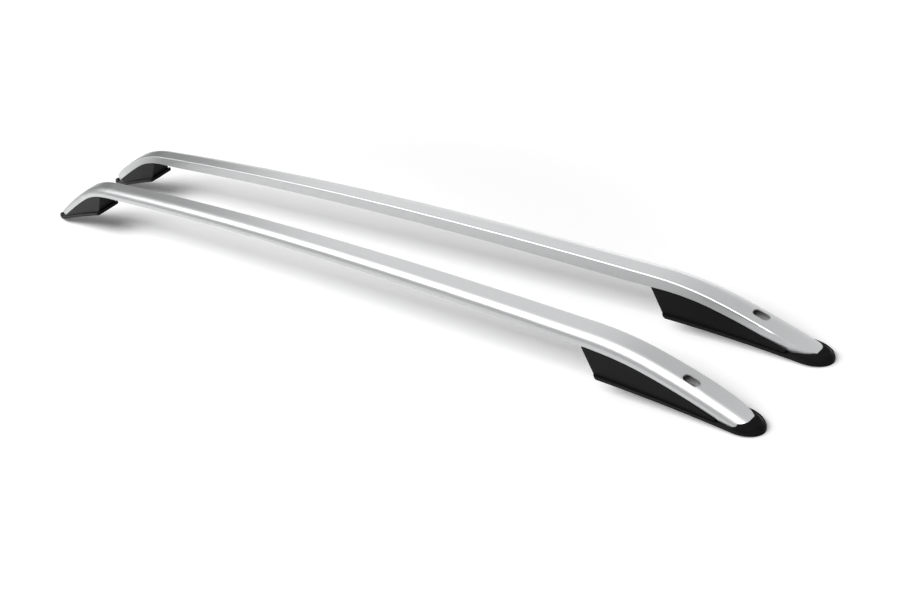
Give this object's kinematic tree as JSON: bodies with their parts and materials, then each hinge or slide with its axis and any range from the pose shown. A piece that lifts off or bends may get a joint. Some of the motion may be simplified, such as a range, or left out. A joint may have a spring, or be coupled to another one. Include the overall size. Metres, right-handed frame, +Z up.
{
  "type": "roof side rail pair",
  "caption": "Mirror-image roof side rails: bent satin aluminium bars with a rounded outer shoulder, carried by long black moulded feet with a bolt slot above each.",
  "frame": {"origin": "on the floor under the middle of the pair, midway between the rails and between their tips", "axes": "+X along the rails towards the long front slope, +Y towards the left-hand rail, +Z up"},
  "size_m": [1.804, 0.1738, 0.1154],
  "materials": {
    "satin_aluminium": "satin anodised",
    "black_moulding": "fine grained black",
    "black_rubber": "matt",
    "plated_steel": "zinc plated"
  },
  "bodies": {
    "root": {"right_bar": "satin_aluminium", "right_front_foot": "black_moulding", "right_front_gasket": "black_rubber", "right_front_sleeve": "plated_steel", "right_front_screws": "plated_steel", "right_rear_foot": "black_moulding", "right_rear_gasket": "black_rubber", "right_rear_sleeve": "plated_steel", "right_rear_screws": "plated_steel", "left_bar": "satin_aluminium", "left_front_foot": "black_moulding", "left_front_gasket": "black_rubber", "left_front_sleeve": "plated_steel", "left_front_screws": "plated_steel", "left_rear_foot": "black_moulding", "left_rear_gasket": "black_rubber", "left_rear_sleeve": "plated_steel", "left_rear_screws": "plated_steel"}
  },
  "joints": []
}
